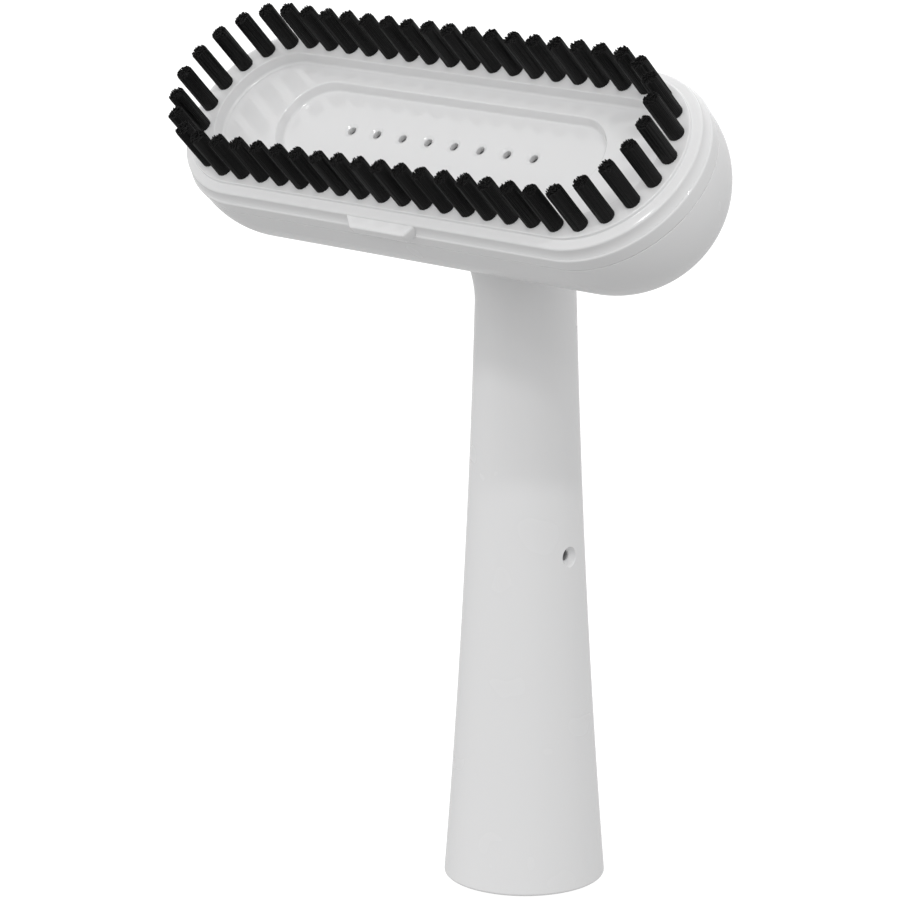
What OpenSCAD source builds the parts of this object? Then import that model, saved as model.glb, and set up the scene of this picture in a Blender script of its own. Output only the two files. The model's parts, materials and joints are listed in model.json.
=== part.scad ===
// Garment steamer: a wide oval steam head with a ring of bristles, on a flared round handle.
// Sizes are in millimetres. +Z is up along the handle, -Y is the side the steam face looks to,
// +X is along the head, and the origin is the centre of the foot.

/* [Steam head] */
// Length of the straight part between the two round ends of the head
head_straight = 109.6; // [90:0.1:130]
// Outside radius of the head at its parting line
head_radius = 27.4; // [24:0.1:32]
// Tilt of the steam face from level
face_tilt = 45; // [30:1:60]
// Distance from the end of the neck bend to the face, along the face's own direction
neck_length = 36.55; // [30:0.05:45]
// Thickness of the plastic walls
wall = 2.2; // [1.6:0.1:3]

/* [Brush attachment] */
// Distance between neighbouring bristle tufts around the ring
tuft_pitch = 7; // [6:0.1:8]
// Number of bristle tufts
tuft_count = 50; // [30:2:60]
// Radius of one tuft
tuft_radius = 2.12; // [1.5:0.01:2.6]
// Height that the tufts stand above the ring
tuft_height = 13.3; // [8:0.1:18]

/* [Steam plate] */
// Number of steam holes
hole_count = 8; // [4:2:12]
// Distance between steam holes
hole_pitch = 8.76; // [7:0.01:10]
// Radius of one steam hole
hole_radius = 1.15; // [0.8:0.05:1.6]

/* [Handle] */
// Radius of the handle at its foot
base_radius = 20.94; // [18:0.02:24]
// Radius that the side curve narrows towards
waist_radius = 12; // [10:0.1:14]
// Height at which the side curve would be narrowest
waist_height = 226.4; // [180:0.1:260]
// Height at which the neck starts to bend forward
bend_height = 151.5; // [130:0.5:170]
// Radius of the neck bend, measured to the centre of the handle
bend_radius = 32.3; // [25:0.1:45]
// Height of the countersunk hole in the right side
side_hole_height = 88; // [70:1:110]
// Radius of that hole
side_hole_radius = 1.35; // [1:0.05:2]

/* [Controls] */
// Height of the middle of the steam button, on the back of the handle
button_height = 136; // [120:1:140]
// Height of the power slider's resting place
slider_height = 98.5; // [94:0.5:104]
// Height of the lamp
lamp_height = 117; // [112:1:120]

/* [Hidden] */
fine = 96;
gap = 0.05;
// Side curve of the handle
curve_drop = base_radius - waist_radius;
curve_steps = 16;
curve_radius = (waist_height * waist_height + curve_drop * curve_drop) / (2 * curve_drop);
function side_radius(z) = waist_radius + curve_radius
  - sqrt(curve_radius * curve_radius - (waist_height - z) * (waist_height - z));
neck_radius = side_radius(bend_height);
neck_inner = neck_radius - wall;
// Where the middle of the face comes to lie
face_reach = bend_radius * (1 - cos(face_tilt)) + neck_length * sin(face_tilt);
face_height = bend_height + bend_radius * sin(face_tilt) + neck_length * cos(face_tilt);
// Ring of tufts
ring_length = tuft_pitch * tuft_count;
ring_radius = (ring_length - 2 * head_straight) / (2 * PI);
ring_arc = PI * ring_radius;
ring_inner = 17.1;
ring_outer = 24.25;
// Depths behind the face
pan_depth = 3.15;
plate_depth = 5.5;
split_depth = 8.8;
round_depth = 9.7;
lip_depth = 11;
// Recess around the steam plate
recess_straight = 82.6;
recess_radius = 11.9;
recess_floor_radius = 10.9;
// Boiler
boiler_radius = 16;
boiler_front = 8.6;
boiler_back = 15;
element_radius = 1.5;
element_depth = 10.55;
cover_front = 15.6;
cover_back = 17.4;
cover_screw_reach = 14.3;
ear_x = 14;
ear_y = 20.6;
// Screws that close the head
head_screw_x = 66;
head_screw_y = 12;
// Joint of neck and head
neck_overrun = 9;
spigot_radius = 9.2;
spigot_bore = 7.6;
spigot_end = 26;
boss_depth = 30;
// Tubes
tube_x = 3.2;
tube_y = -4.2;
tube_radius = 1.8;
tube_bore = 1.1;
tube_step = 0.06;
tube_overlap = 0.5;
tube_foot = 71;
barb_radius = 1.05;
// Tank
tank_front = 20.6;
tank_left = -60;
tank_right = 22;
hub_radius = 14;
hub_depth = 23.6;
plug_x = -38;
// Cord entry at the back of the foot
gland_height = 15;
cord_radius = 2.6;
// Board and what is on it
board_back = -2;
board_front = -0.4;

// Part to show

// Space of the head: z is 0 at the face and points out of it, x runs along the head
module in_head() {
  translate([0, -face_reach, face_height])
    rotate([face_tilt, 0, 0])
      children();
}

// Space of the neck bend: turning by the face tilt about z follows the bend
module in_bend() {
  translate([0, -bend_radius, bend_height])
    rotate([90, 0, 90])
      children();
}

// Flat oval with straight sides
module oval(straight, radius) {
  square([straight, 2 * radius], center = true);
  for (side = [-1, 1])
    translate([side * straight / 2, 0])
      circle(r = radius, $fn = fine);
}

// Oval slab between two depths behind the face
module slab(straight, radius, front, back) {
  translate([0, 0, -back])
    linear_extrude(back - front)
      oval(straight, radius);
}

// Carries a half section around an oval path: x is the distance from the middle line
module around(straight) {
  for (side = [-1, 1])
    translate([side * straight / 2, 0, 0])
      rotate([0, 0, -90 * side])
        rotate_extrude(angle = 180, $fn = fine)
          children();
  translate([-straight / 2, 0, 0])
    rotate([90, 0, 90])
      linear_extrude(straight)
        children();
  mirror([0, 1, 0])
    translate([-straight / 2, 0, 0])
      rotate([90, 0, 90])
        linear_extrude(straight)
          children();
}

// Half section of the round back of the head, from a given depth backward
module back_section(radius, front) {
  intersection() {
    translate([0, -round_depth])
      circle(r = radius, $fn = 2 * fine);
    translate([0, -60])
      square([40, 60 - max(front, round_depth)]);
  }
  if (front < round_depth)
    translate([0, -round_depth])
      square([radius, round_depth - front]);
}

module back_form(radius, front) {
  around(head_straight)
    back_section(radius, front);
}

// Place on the ring of tufts after going a distance around it from the far left corner
function ring_place(s) =
  s < head_straight ? [s - head_straight / 2, ring_radius]
  : s < head_straight + ring_arc
    ? [head_straight / 2 + ring_radius * sin((s - head_straight) / ring_radius * 180 / PI),
       ring_radius * cos((s - head_straight) / ring_radius * 180 / PI)]
  : s < 2 * head_straight + ring_arc
    ? [head_straight / 2 - (s - head_straight - ring_arc), -ring_radius]
  : [-head_straight / 2
       - ring_radius * sin((s - 2 * head_straight - ring_arc) / ring_radius * 180 / PI),
     -ring_radius * cos((s - 2 * head_straight - ring_arc) / ring_radius * 180 / PI)];

// Solid of the straight handle, made wider all round by a given amount
module handle_form(growth, low, high) {
  heights = [for (i = [0 : curve_steps]) low + i * (high - low) / curve_steps];
  rotate_extrude($fn = 2 * fine)
    polygon(concat([[0, high], [0, low]], [for (z = heights) [side_radius(z) + growth, z]]));
}

// Round tube that follows the handle, the neck bend and the head's own direction
module tube_along_neck(x, y, start, end_depth) {
  translate([x, y, start])
    linear_extrude(bend_height + tube_overlap - start)
      tube_section(0);
  in_bend()
    rotate_extrude(angle = face_tilt, $fn = fine)
      translate([bend_radius + y, x])
        tube_section(tube_step);
  in_head()
    translate([x, y, -neck_length - tube_overlap])
      linear_extrude(neck_length + tube_overlap - end_depth)
        tube_section(0);
}

// Wall of the tube, made thinner by a given amount on both sides
module tube_section(thinning) {
  difference() {
    circle(r = tube_radius - thinning, $fn = 32);
    circle(r = tube_bore + thinning, $fn = 32);
  }
}

// Solid of the neck bend, turned past the face tilt by some degrees
module neck_elbow(radius, past) {
  in_bend()
    rotate_extrude(angle = face_tilt + past, $fn = fine)
      translate([bend_radius, 0])
        circle(r = radius, $fn = fine);
}

// Upright slab with round ends, from one distance behind the handle's axis to another
module pill(width, height, front, back) {
  translate([0, back, 0])
    rotate([90, 0, 0])
      linear_extrude(back - front) {
        square([width, height - width], center = true);
        for (side = [-1, 1])
          translate([0, side * (height - width) / 2])
            circle(r = width / 2, $fn = 64);
      }
}

// Post standing inward from the back of the handle toward the board
module board_post(x, z) {
  translate([x, board_back, z])
    rotate([90, 0, 0])
      cylinder(r = 2, h = 12, $fn = 32);
}

module handle_shell() {
  color([0.93, 0.93, 0.94])
    difference() {
      union() {
        handle_form(0, 0.3, bend_height);
        difference() {
          neck_elbow(neck_radius, neck_overrun);
          in_head()
            back_form(head_radius + gap, split_depth);
        }
        in_head()
          translate([0, 0, -neck_length - 3])
            cylinder(r = spigot_radius, h = neck_length + 3 - spigot_end, $fn = fine);
      }
      difference() {
        union() {
          handle_form(-wall, -1, bend_height);
          neck_elbow(neck_inner, -5);
        }
        // Posts that carry the board
        for (x = [-7.5, 7.5])
          for (z = [95, 144])
            board_post(x, z);
        // Bosses for the foot screws
        for (turn = [60, 180, 300])
          rotate([0, 0, turn])
            translate([0, 13, 4.1])
              cylinder(r = 2.6, h = 12, $fn = 32);
        for (turn = [60, 180, 300])
          rotate([0, 0, turn])
            translate([-1, 13, 4.1])
              cube([2, 8, 12]);
        // Thickening behind the countersunk hole
        translate([10, 0, side_hole_height])
          rotate([0, 90, 0])
            cylinder(r = 4, h = 8, $fn = 48);
      }
      in_head()
        translate([0, 0, -neck_length - 6])
          cylinder(r = spigot_bore, h = neck_length + 7 - spigot_end, $fn = fine);
      // Countersunk hole in the right side
      translate([8, 0, side_hole_height])
        rotate([0, 90, 0])
          cylinder(r = side_hole_radius, h = 14, $fn = 48);
      translate([side_radius(side_hole_height) - 1.75, 0, side_hole_height])
        rotate([0, 90, 0])
          cylinder(r1 = side_hole_radius, r2 = 2.75, h = 2, $fn = 48);
      // Screw holes in the posts and bosses
      for (x = [-7.5, 7.5])
        for (z = [95, 144])
          translate([x, board_back + 0.1, z])
            rotate([90, 0, 0])
              cylinder(r = 0.85, h = 5, $fn = 24);
      for (turn = [60, 180, 300])
        rotate([0, 0, turn])
          translate([0, 13, 4])
            cylinder(r = 1.05, h = 9, $fn = 24);
      // Windows for button, slider, lamp and cord
      translate([0, 0, button_height])
        pill(9.4, 22.4, 6, 20);
      translate([0, 0, slider_height + 2.6])
        pill(5.8, 10.6, 6, 20);
      translate([0, 6, lamp_height])
        rotate([-90, 0, 0])
          cylinder(r = 1.65, h = 14, $fn = 32);
      translate([0, 12, gland_height])
        rotate([-90, 0, 0])
          cylinder(r = 4.05, h = 14, $fn = 48);
    }
}

module head_rear_shell() {
  color([0.93, 0.93, 0.94])
    in_head()
      difference() {
        union() {
          around(head_straight)
            difference() {
              back_section(head_radius, split_depth);
              back_section(head_radius - wall, split_depth - 1);
            }
          intersection() {
            back_form(head_radius - 0.5, boss_depth);
            translate([0, 0, -40])
              cylinder(r = 13, h = 40 - boss_depth, $fn = fine);
          }
          for (x = [-head_screw_x, head_screw_x])
            for (y = [-head_screw_y, head_screw_y])
              intersection() {
                back_form(head_radius - 0.5, tank_front);
                translate([x, y, -40])
                  cylinder(r = 3.6, h = 40 - tank_front, $fn = 48);
              }
        }
        // Opening for the neck's spigot
        translate([0, 0, -45])
          cylinder(r = spigot_radius + 0.1, h = 20, $fn = fine);
        // Screw holes
        for (x = [-head_screw_x, head_screw_x])
          for (y = [-head_screw_y, head_screw_y])
            translate([x, y, 0]) {
              translate([0, 0, -40])
                cylinder(r = 2.6, h = 17, $fn = 32);
              translate([0, 0, -24])
                cylinder(r = 1.3, h = 5, $fn = 32);
            }
        // Filling opening, which points straight back
        translate([plug_x, 0, -round_depth])
          rotate([-90 - face_tilt, 0, 0]) {
            translate([0, 0, 20])
              cylinder(r = 5.9, h = 12, $fn = 64);
            translate([0, 0, 26.4])
              cylinder(r = 7.3, h = 4, $fn = 64);
          }
      }
}

module front_bezel() {
  color([0.94, 0.94, 0.95])
    in_head()
      difference() {
        union() {
          around(head_straight) {
            translate([0, -plate_depth])
              square([24.9, plate_depth - pan_depth]);
            translate([0, -plate_depth])
              square([25.5, plate_depth - 4.15]);
            translate([22, -6.05])
              square([4.95, 1.45]);
            // Bead, and an outer wall that draws in a little toward the split
            translate([26.95, -5.3])
              circle(r = 0.7, $fn = 64);
            polygon([[23.4, -split_depth], [27.4, -split_depth], [27.65, -5.3], [23.4, -5.3]]);
            translate([23.4, -lip_depth])
              square([1.55, lip_depth - 6.05]);
          }
          // Rib that locates the steam plate
          difference() {
            slab(recess_straight, 15.2, 5, 7.6);
            slab(recess_straight, 13.6, 4, 8);
          }
          for (x = [-head_screw_x, head_screw_x])
            for (y = [-head_screw_y, head_screw_y])
              translate([x, y, -20.4])
                cylinder(r = 3.4, h = 15.4, $fn = 48);
          for (x = [-ear_x, ear_x])
            for (y = [-ear_y, ear_y])
              translate([x, y, -12.5])
                cylinder(r = 2.6, h = 7.5, $fn = 48);
        }
        // Sloping recess down to the steam plate
        around(recess_straight)
          polygon([[0, -6], [recess_floor_radius, -6], [recess_floor_radius, -plate_depth],
            [recess_radius, -pan_depth], [recess_radius, -2], [0, -2]]);
        for (x = [-head_screw_x, head_screw_x])
          for (y = [-head_screw_y, head_screw_y])
            translate([x, y, -21])
              cylinder(r = 1.05, h = 13, $fn = 24);
        for (x = [-ear_x, ear_x])
          for (y = [-ear_y, ear_y])
            translate([x, y, -13])
              cylinder(r = 1.05, h = 6, $fn = 24);
        // Slots for the posts of the brush attachment
        for (x = [-30, 30])
          for (y = [-20.7, 20.7])
            translate([x - 3.3, y - 1.1, -7])
              cube([6.6, 2.2, 5]);
      }
}

// Outline of the pull tab in the head's own plane
module tab_outline() {
  polygon([[-13.4, -24.6], [-9.3, -29.4], [8.9, -29.4], [13, -24.6]]);
}

module brush_frame() {
  color([0.93, 0.93, 0.94])
    in_head()
      difference() {
        union() {
          around(head_straight) {
            polygon([[ring_inner - 0.35, -3.1], [ring_inner, -0.3], [ring_inner + 0.3, 0],
              [ring_outer - 0.3, 0], [ring_outer, -0.3], [ring_outer, -3.1]]);
            // Shelf that slopes out to a rounded edge
            polygon([[22, -3.1], [22, -0.9], [24.45, -0.9], [26.17, -1.41], [25.95, -2.1],
              [26.66, -2.1], [26.7, -3.7], [27.1, -4.5], [25.6, -4.5], [25.6, -4.05],
              [24.95, -4.05], [24.95, -3.1]]);
            translate([25.95, -2.1])
              circle(r = 0.72, $fn = 48);
          }
          translate([0, 0, -4.05])
            linear_extrude(1.35)
              difference() {
                tab_outline();
                translate([-20, -25])
                  square([40, 5]);
              }
          translate([0, 0, -5.2])
            linear_extrude(2.5)
              intersection() {
                tab_outline();
                translate([-20, -30])
                  square([40, 2.25]);
              }
          for (x = [-30, 30])
            for (y = [-20.7, 20.7])
              translate([x - 3, y - 0.8, -9])
                cube([6, 1.6, 7]);
        }
        for (i = [0 : tuft_count - 1])
          translate(concat(ring_place(i * tuft_pitch), -2.3))
            cylinder(r = tuft_radius + 0.03, h = 4, $fn = 32);
      }
}

module bristle_tufts() {
  color([0.06, 0.06, 0.07])
    in_head()
      for (i = [0 : tuft_count - 1])
        translate(concat(ring_place(i * tuft_pitch), -2.3)) {
          cylinder(r = tuft_radius, h = 2.3 + tuft_height - 0.9, $fn = 32);
          translate([0, 0, 2.3 + tuft_height - 0.9])
            cylinder(r1 = tuft_radius, r2 = tuft_radius - 0.6, h = 0.9, $fn = 32);
        }
}

module steam_plate() {
  color([0.9, 0.9, 0.91])
    in_head()
      difference() {
        slab(recess_straight, 13.4, plate_depth, 7.4);
        for (i = [0 : hole_count - 1])
          translate([(i - (hole_count - 1) / 2) * hole_pitch, 0, -8]) {
            cylinder(r = hole_radius, h = 3, $fn = 48);
            translate([0, 0, 7.5 - plate_depth])
              cylinder(r1 = hole_radius, r2 = 2.4, h = 0.55, $fn = 48);
          }
      }
}

module plate_gasket() {
  color([0.75, 0.3, 0.2])
    in_head()
      difference() {
        slab(recess_straight, 13.3, 7.4, boiler_front);
        slab(recess_straight, 11.4, 7, 9);
      }
}

// Heating rod: a long hairpin around the boiler's edge
module element_path(radius) {
  for (side = [-1, 1])
    translate([-recess_straight / 2, side * boiler_radius, -element_depth])
      rotate([0, 90, 0])
        cylinder(r = radius, h = recess_straight + 12, $fn = 32);
  translate([-recess_straight / 2, 0, -element_depth])
    rotate([0, 0, 90])
      rotate_extrude(angle = 180, $fn = fine)
        translate([boiler_radius, 0])
          circle(r = radius, $fn = 32);
}

module boiler_body() {
  color([0.72, 0.73, 0.75])
    in_head()
      difference() {
        union() {
          slab(recess_straight, boiler_radius, boiler_front, boiler_back);
          for (x = [-ear_x, ear_x])
            for (side = [-1, 1]) {
              translate([x, side * ear_y, -boiler_back])
                cylinder(r = 3.2, h = 2.4, $fn = 48);
              translate([x - 3.2, side > 0 ? 14 : -ear_y, -boiler_back])
                cube([6.4, ear_y - 14, 2.4]);
            }
        }
        slab(recess_straight, 11, 8, 10.4);
        // Evaporation chamber with its baffles
        difference() {
          slab(recess_straight, 12.5, 12.2, 16);
          for (x = [-27, 0, 27])
            translate([x - 1, x == 0 ? -8 : -13, -17])
              cube([2, 21, 6]);
        }
        for (x = [-38, 38])
          translate([x, 0, -13])
            cylinder(r = 1.2, h = 4, $fn = 32);
        element_path(element_radius + gap);
        for (x = [-recess_straight / 2, 0, recess_straight / 2])
          for (y = [-cover_screw_reach, cover_screw_reach])
            translate([x, y, -16])
              cylinder(r = 1.0, h = 3.3, $fn = 24);
        for (x = [-ear_x, ear_x])
          for (y = [-ear_y, ear_y])
            translate([x, y, -16])
              cylinder(r = 1.3, h = 5, $fn = 24);
      }
}

module boiler_gasket() {
  color([0.75, 0.3, 0.2])
    in_head()
      difference() {
        slab(recess_straight, 15.8, boiler_back, cover_front);
        slab(recess_straight, 12.8, 14, 17);
        for (x = [-recess_straight / 2, 0, recess_straight / 2])
          for (y = [-cover_screw_reach, cover_screw_reach])
            translate([x, y, -17])
              cylinder(r = 1.1, h = 3, $fn = 24);
      }
}

module boiler_cover() {
  color([0.68, 0.69, 0.71])
    in_head()
      difference() {
        union() {
          slab(recess_straight, 15.8, cover_front, cover_back);
          translate([tube_x, tube_y, -21])
            cylinder(r = barb_radius, h = 4, $fn = 24);
        }
        translate([tube_x, tube_y, -22])
          cylinder(r = 0.6, h = 8, $fn = 24);
        for (x = [-recess_straight / 2, 0, recess_straight / 2])
          for (y = [-cover_screw_reach, cover_screw_reach])
            translate([x, y, -18])
              cylinder(r = 1.1, h = 3, $fn = 24);
      }
}

module boiler_screws() {
  color([0.6, 0.6, 0.62])
    in_head()
      for (x = [-recess_straight / 2, 0, recess_straight / 2])
        for (y = [-cover_screw_reach, cover_screw_reach])
          translate([x, y, -cover_back]) {
            cylinder(r = 0.95, h = 4.4, $fn = 24);
            translate([0, 0, -1.2])
              cylinder(r = 1.9, h = 1.2, $fn = 32);
          }
}

module boiler_mount_screws() {
  color([0.6, 0.6, 0.62])
    in_head()
      for (x = [-ear_x, ear_x])
        for (y = [-ear_y, ear_y])
          translate([x, y, -boiler_back]) {
            cylinder(r = 1, h = 7, $fn = 24);
            translate([0, 0, -1.6])
              cylinder(r = 2.3, h = 1.6, $fn = 32);
          }
}

module heating_element() {
  color([0.45, 0.42, 0.4])
    in_head() {
      element_path(element_radius);
      for (side = [-1, 1])
        translate([recess_straight / 2 + 12, side * boiler_radius, -element_depth])
          rotate([0, 90, 0])
            cylinder(r = 0.8, h = 6, $fn = 24);
    }
}

module thermostat() {
  color([0.3, 0.3, 0.32])
    in_head()
      translate([34, 0, -cover_back]) {
        translate([0, 0, -4.5])
          cylinder(r = 7, h = 4.5, $fn = 64);
        translate([0, 0, -6])
          cylinder(r = 5.5, h = 2, $fn = 64);
        for (side = [-1, 1])
          translate([side * 3 - 1.5, -0.4, -11])
            cube([3, 0.8, 6]);
      }
}

module thermal_fuse() {
  color([0.82, 0.8, 0.72])
    in_head()
      translate([49, 0, -cover_back - 2.05])
        rotate([90, 0, 0]) {
          translate([0, 0, -5])
            cylinder(r = 2, h = 10, $fn = 32);
          translate([0, 0, -9])
            cylinder(r = 0.6, h = 18, $fn = 24);
        }
}

module heat_shield() {
  color([0.85, 0.83, 0.74])
    in_head()
      difference() {
        intersection() {
          slab(head_straight, 19, 19.2, 19.9);
          translate([tank_left, -30, -21])
            cube([tank_right - tank_left, 60, 4]);
        }
        translate([tube_x, tube_y, -21])
          cylinder(r = 2.1, h = 4, $fn = 32);
      }
}

// Space left of and right of the tank's two end walls
module tank_range(inset, front) {
  intersection() {
    back_form(head_radius - wall - 0.8 - inset, front + inset);
    translate([tank_left + inset, -30, -50])
      cube([tank_right - tank_left - 2 * inset, 60, 50]);
  }
}

module water_tank() {
  color([0.62, 0.74, 0.82, 0.6])
    in_head()
      difference() {
        union() {
          difference() {
            tank_range(0, tank_front);
            difference() {
              tank_range(1.5, tank_front);
              translate([0, 0, -50])
                cylinder(r = hub_radius + 1.5, h = 50, $fn = fine);
            }
          }
          // Filling spout
          translate([plug_x, 0, -round_depth])
            rotate([-90 - face_tilt, 0, 0])
              translate([0, 0, 22.5])
                cylinder(r = 5.7, h = 3.8, $fn = 64);
        }
        difference() {
          translate([0, 0, -50])
            cylinder(r = hub_radius, h = 50 - hub_depth, $fn = fine);
          translate([-tube_x, tube_y, -27])
            cylinder(r = barb_radius, h = 4, $fn = 24);
        }
        // Passage from the tank to the suction tube
        translate([-tube_x, tube_y, -28])
          cylinder(r = 0.6, h = 6, $fn = 24);
        translate([-tube_x, tube_y, -22.2])
          rotate([90, 0, 0])
            cylinder(r = 0.6, h = 12.2, $fn = 24);
        translate([tube_x, tube_y, -25])
          cylinder(r = 2.1, h = 6, $fn = 32);
        translate([plug_x, 0, -round_depth])
          rotate([-90 - face_tilt, 0, 0])
            translate([0, 0, 20.6])
              cylinder(r = 4.3, h = 12, $fn = 64);
      }
}

module fill_plug() {
  color([0.2, 0.2, 0.22])
    in_head()
      translate([plug_x, 0, -round_depth])
        rotate([-90 - face_tilt, 0, 0])
          difference() {
            union() {
              translate([0, 0, 26.45])
                cylinder(r = 7, h = 1.8, $fn = 64);
              translate([-4.5, -0.9, 28])
                cube([9, 1.8, 2.2]);
              translate([0, 0, 20.9])
                cylinder(r = 3.8, h = 6, $fn = 64);
            }
            translate([0, 0, 22.2])
              difference() {
                cylinder(r = 5, h = 1.6, $fn = 64);
                translate([0, 0, -1])
                  cylinder(r = 3.1, h = 4, $fn = 64);
              }
          }
}

module plug_seal() {
  color([0.1, 0.1, 0.1])
    in_head()
      translate([plug_x, 0, -round_depth])
        rotate([-90 - face_tilt, 0, 0])
          translate([0, 0, 23])
            rotate_extrude($fn = 64)
              translate([3.7, 0])
                circle(r = 0.55, $fn = 24);
}

module neck_nut() {
  color([0.85, 0.85, 0.86])
    in_head()
      difference() {
        translate([0, 0, -boss_depth + gap])
          cylinder(r = 12.6, h = 3, $fn = fine);
        translate([0, 0, -boss_depth - 1])
          cylinder(r = spigot_radius + gap, h = 6, $fn = fine);
        for (turn = [0 : 60 : 300])
          rotate([0, 0, turn])
            translate([12.6, 0, -boss_depth - 1])
              cylinder(r = 1.2, h = 6, $fn = 24);
      }
}

module head_screws() {
  color([0.6, 0.6, 0.62])
    in_head()
      for (x = [-head_screw_x, head_screw_x])
        for (y = [-head_screw_y, head_screw_y])
          translate([x, y, -23])
            difference() {
              union() {
                cylinder(r = 1, h = 13, $fn = 24);
                translate([0, 0, -2])
                  cylinder(r = 2.4, h = 2, $fn = 32);
              }
              translate([-1.6, -0.3, -3])
                cube([3.2, 0.6, 2]);
              translate([-0.3, -1.6, -3])
                cube([0.6, 3.2, 2]);
            }
}

module suction_tube() {
  color([0.85, 0.86, 0.88])
    tube_along_neck(-tube_x, tube_y, tube_foot, hub_depth + 0.2);
}

module feed_tube() {
  color([0.85, 0.86, 0.88])
    tube_along_neck(tube_x, tube_y, tube_foot, cover_back + 0.4);
}

module pump_body() {
  color([0.86, 0.86, 0.84])
    difference() {
      union() {
        translate([0, 0, 25])
          cylinder(r = 5, h = 38, $fn = 48);
        translate([0, 0, 62])
          cylinder(r = 9, h = 8, $fn = 64);
        translate([0, 0, 22])
          cylinder(r = 7.5, h = 3.5, $fn = 48);
        for (x = [-tube_x, tube_x])
          translate([x, tube_y, 69])
            cylinder(r = barb_radius, h = 8, $fn = 24);
      }
      translate([0, 0, 27])
        cylinder(r = 3.6, h = 34, $fn = 48);
      for (x = [-tube_x, tube_x])
        translate([x, tube_y, 66])
          cylinder(r = 0.55, h = 12, $fn = 24);
      for (x = [-tube_x, tube_x])
        translate([x, tube_y, 66])
          rotate([0, 0, x > 0 ? 127.3 : 52.7])
            rotate([0, 90, 0])
              cylinder(r = 0.55, h = 4.6, $fn = 24);
      translate([0, 0, 60])
        cylinder(r = 0.8, h = 6.5, $fn = 24);
    }
}

module pump_coil() {
  color([0.72, 0.36, 0.16])
    difference() {
      union() {
        translate([0, 0, 30.6])
          cylinder(r = 9.8, h = 26.8, $fn = 64);
        for (z = [29, 57.4])
          translate([0, 0, z])
            cylinder(r = 10.6, h = 1.6, $fn = 64);
      }
      translate([0, 0, 28])
        cylinder(r = 5.1, h = 32, $fn = 48);
    }
}

module pump_yoke() {
  color([0.62, 0.63, 0.66])
    difference() {
      union() {
        for (z = [27.3, 59.1])
          translate([-8, -10.8, z])
            cube([16, 21.6, 1.6]);
        for (y = [-12.4, 10.8])
          translate([-4.5, y, 27.3])
            cube([9, 1.6, 33.4]);
      }
      translate([0, 0, 26])
        cylinder(r = 5.1, h = 36, $fn = 48);
    }
}

module pump_plunger() {
  color([0.7, 0.71, 0.73])
    translate([0, 0, 39])
      difference() {
        cylinder(r = 3.5, h = 17, $fn = 48);
        translate([0, 0, -1])
          cylinder(r = 1, h = 20, $fn = 32);
      }
}

// Coil spring drawn as stacked rings joined by a thin rod
module ring_spring(radius, wire, low, high, turns) {
  for (i = [0 : turns - 1])
    translate([0, 0, low + wire + i * (high - low - 2 * wire) / (turns - 1)])
      rotate_extrude($fn = 48)
        translate([radius, 0])
          circle(r = wire, $fn = 16);
  translate([radius, 0, low + wire])
    cylinder(r = wire * 0.7, h = high - low - 2 * wire, $fn = 16);
}

module pump_spring() {
  color([0.75, 0.76, 0.78])
    ring_spring(2.7, 0.35, 27.1, 38.9, 7);
}

module pump_cushions() {
  color([0.12, 0.12, 0.12])
    union() {
      difference() {
        translate([0, 0, 63.5])
          cylinder(r = 13.6, h = 5, $fn = 96);
        translate([0, 0, 63])
          cylinder(r = 9.05, h = 6, $fn = 64);
      }
      difference() {
        translate([0, 0, 22])
          cylinder(r = 16.4, h = 3.4, $fn = 96);
        translate([0, 0, 21])
          cylinder(r = 7.55, h = 6, $fn = 64);
      }
    }
}

module control_board() {
  color([0.1, 0.32, 0.2])
    difference() {
      union() {
        translate([-9.5, board_back, 91])
          cube([19, board_front - board_back, 57]);
        // Parts on the board
        translate([5.4, board_front - 0.1, 106])
          cube([3, 4, 8]);
        translate([-8.6, board_front - 0.1, 105])
          cube([3.6, 3, 12]);
        translate([-6.8, board_front - 0.1, 123.5])
          rotate([-90, 0, 0])
            cylinder(r = 2.2, h = 4.5, $fn = 32);
        translate([5.2, board_front - 0.1, 119.5])
          cube([3, 2.2, 5]);
      }
      for (x = [-7.5, 7.5])
        for (z = [95, 144])
          translate([x, board_back - 1, z])
            rotate([-90, 0, 0])
              cylinder(r = 1.05, h = 4, $fn = 24);
    }
}

module board_screws() {
  color([0.6, 0.6, 0.62])
    for (x = [-7.5, 7.5])
      for (z = [95, 144])
        translate([x, board_front, z])
          rotate([90, 0, 0]) {
            cylinder(r = 0.8, h = 6, $fn = 24);
            translate([0, 0, -1.1])
              cylinder(r = 1.7, h = 1.1, $fn = 32);
          }
}

module micro_switch() {
  color([0.14, 0.14, 0.15])
    translate([-3, board_front, button_height - 6.5])
      cube([6, 3.6, 6]);
}

module steam_button() {
  color([0.55, 0.57, 0.6])
    union() {
      intersection() {
        translate([0, 0, button_height])
          pill(8.8, 21.8, 8.5, 20);
        translate([0, 0, button_height - 12])
          cylinder(r = side_radius(button_height) + 1.7, h = 24, $fn = 2 * fine);
      }
      translate([-5.6, 8, button_height - 13])
        cube([11.2, 1.2, 26]);
      // Stem down to the switch, with the switch's plunger that it carries
      translate([0, 8.1, button_height - 3.5])
        rotate([90, 0, 0])
          cylinder(r = 1.3, h = 3.35, $fn = 32);
    }
}

module button_spring() {
  color([0.75, 0.76, 0.78])
    translate([0, board_front, button_height + 6.5])
      rotate([-90, 0, 0])
        ring_spring(2.2, 0.3, 0, 8.35, 7);
}

module power_switch() {
  color([0.14, 0.14, 0.15])
    difference() {
      translate([-4.4, board_front, 98.5])
        cube([8.8, 5.4, 11]);
      translate([-1.9, 2.5, 99])
        cube([3.8, 4, 10]);
    }
}

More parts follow.
